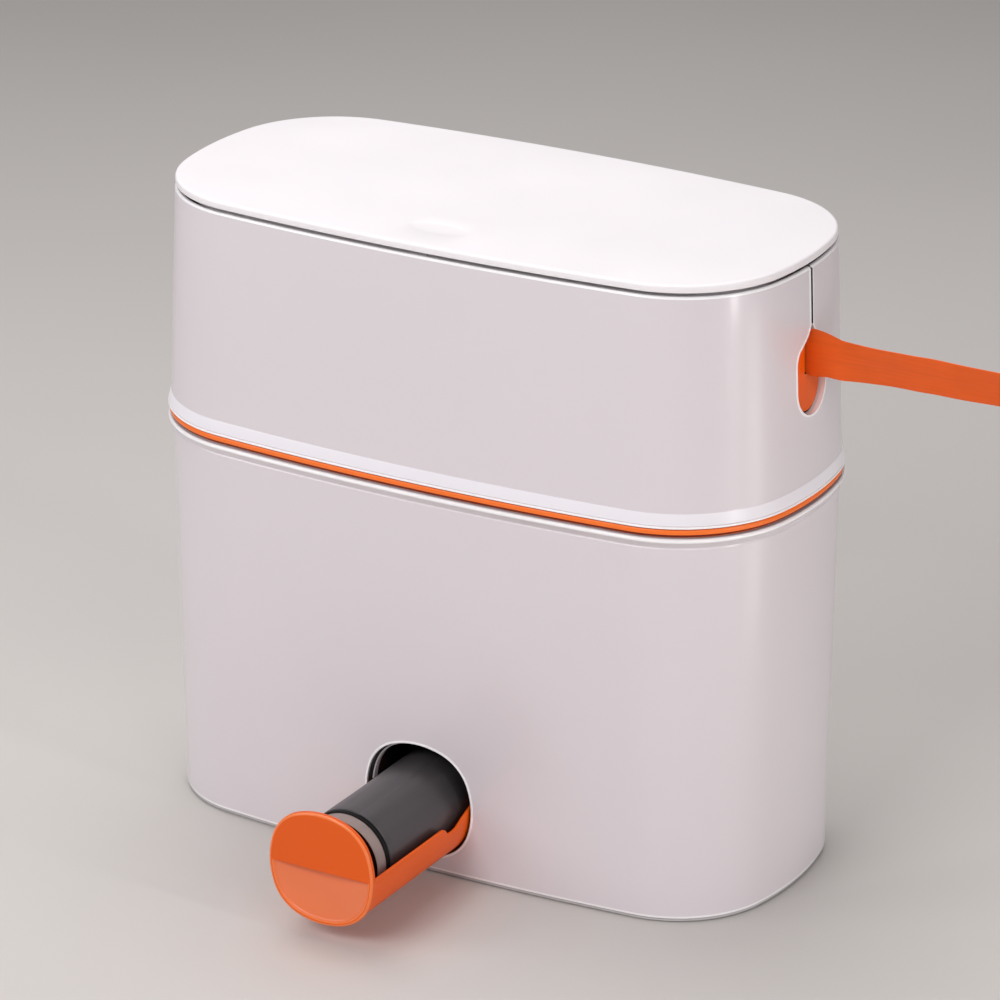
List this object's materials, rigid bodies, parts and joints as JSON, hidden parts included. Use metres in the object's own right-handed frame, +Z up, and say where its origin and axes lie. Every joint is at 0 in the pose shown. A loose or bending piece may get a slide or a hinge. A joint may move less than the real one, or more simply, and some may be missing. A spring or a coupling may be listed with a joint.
{
  "type": "one-pull waste bin",
  "caption": "Slim oval press-lid waste bin with a lift-off collar, a one-pull bag-closing strap at one end and a round pull-out bag roll drawer at the front.",
  "frame": {"origin": "on the floor, at the middle of the foot ring", "axes": "+Z up, +X along the long side towards the strap, -Y towards the front with the drawer"},
  "size_m": [0.478, 0.2656, 0.335],
  "materials": {
    "white_shell": "satin moulded ABS, faint orange-peel",
    "white_lid": "satin moulded ABS",
    "white_inner": "fine moulded grain",
    "grey_base": "fine moulded grain",
    "foot_rubber": "matt",
    "orange_part": "satin moulded polypropylene",
    "orange_strap": "flat extruded band with fine lengthwise lines",
    "dark_housing": "matt",
    "film": "tightly wound satin film",
    "paper_band": "matt paper sleeve",
    "card": "brown cardboard",
    "steel": "plain"
  },
  "bodies": {
    "bucket": {"lower_bucket": "white_shell", "base_plate": "grey_base", "foot_ring": "foot_rubber", "base_screws": "steel", "dispenser_tube": "dark_housing", "inner_floor": "white_inner", "feed_grommet": "orange_part"},
    "collar": {"collar_shell": "white_shell", "trim_ring": "orange_part", "strap_guide": "orange_part", "strap_track": "white_inner", "strap_loop": "orange_strap", "hinge_pins": "steel", "hinge_springs": "steel", "latch_housing": "dark_housing", "latch_spring": "steel"},
    "lid": {"lid_top": "white_lid", "lid_inner_panel": "white_inner", "latch_striker": "white_inner"},
    "latch_button": {"latch_plunger": "white_inner"},
    "drawer": {"dispenser_tray": "orange_part"},
    "bag_roll": {"roll_core": "card", "roll_band": "paper_band", "roll_clip": "dark_housing", "film_roll": "film"},
    "strap": {"pull_strap": "orange_strap", "pull_tab": "orange_strap"}
  },
  "joints": [
    {"name": "collar_lift", "type": "slide", "parent": "bucket", "child": "collar", "axis": [0, 0, 1], "range_m": [0, 0.09]},
    {"name": "lid_hinge", "type": "hinge", "parent": "collar", "child": "lid", "pos_m": [0, 0.0814, 0.3245], "axis": [-1, 0, 0], "range_deg": [-0.5, 92]},
    {"name": "latch_press", "type": "slide", "parent": "collar", "child": "latch_button", "axis": [0, 0, 1], "range_m": [-0.0025, 0], "stiffness_N_per_m": 800, "springref_m": 0.0015, "deforming": ["latch_spring"]},
    {"name": "drawer_slide", "type": "slide", "parent": "bucket", "child": "drawer", "axis": [0, -1, 0], "range_m": [-0.093, 0]},
    {"name": "roll_spin", "type": "hinge", "parent": "drawer", "child": "bag_roll", "pos_m": [0, -0.115, 0.0367], "axis": [0, 1, 0], "continuous": true},
    {"name": "strap_pull", "type": "slide", "parent": "collar", "child": "strap", "axis": [1, 0, 0], "range_m": [-0.098, 0]}
  ]
}
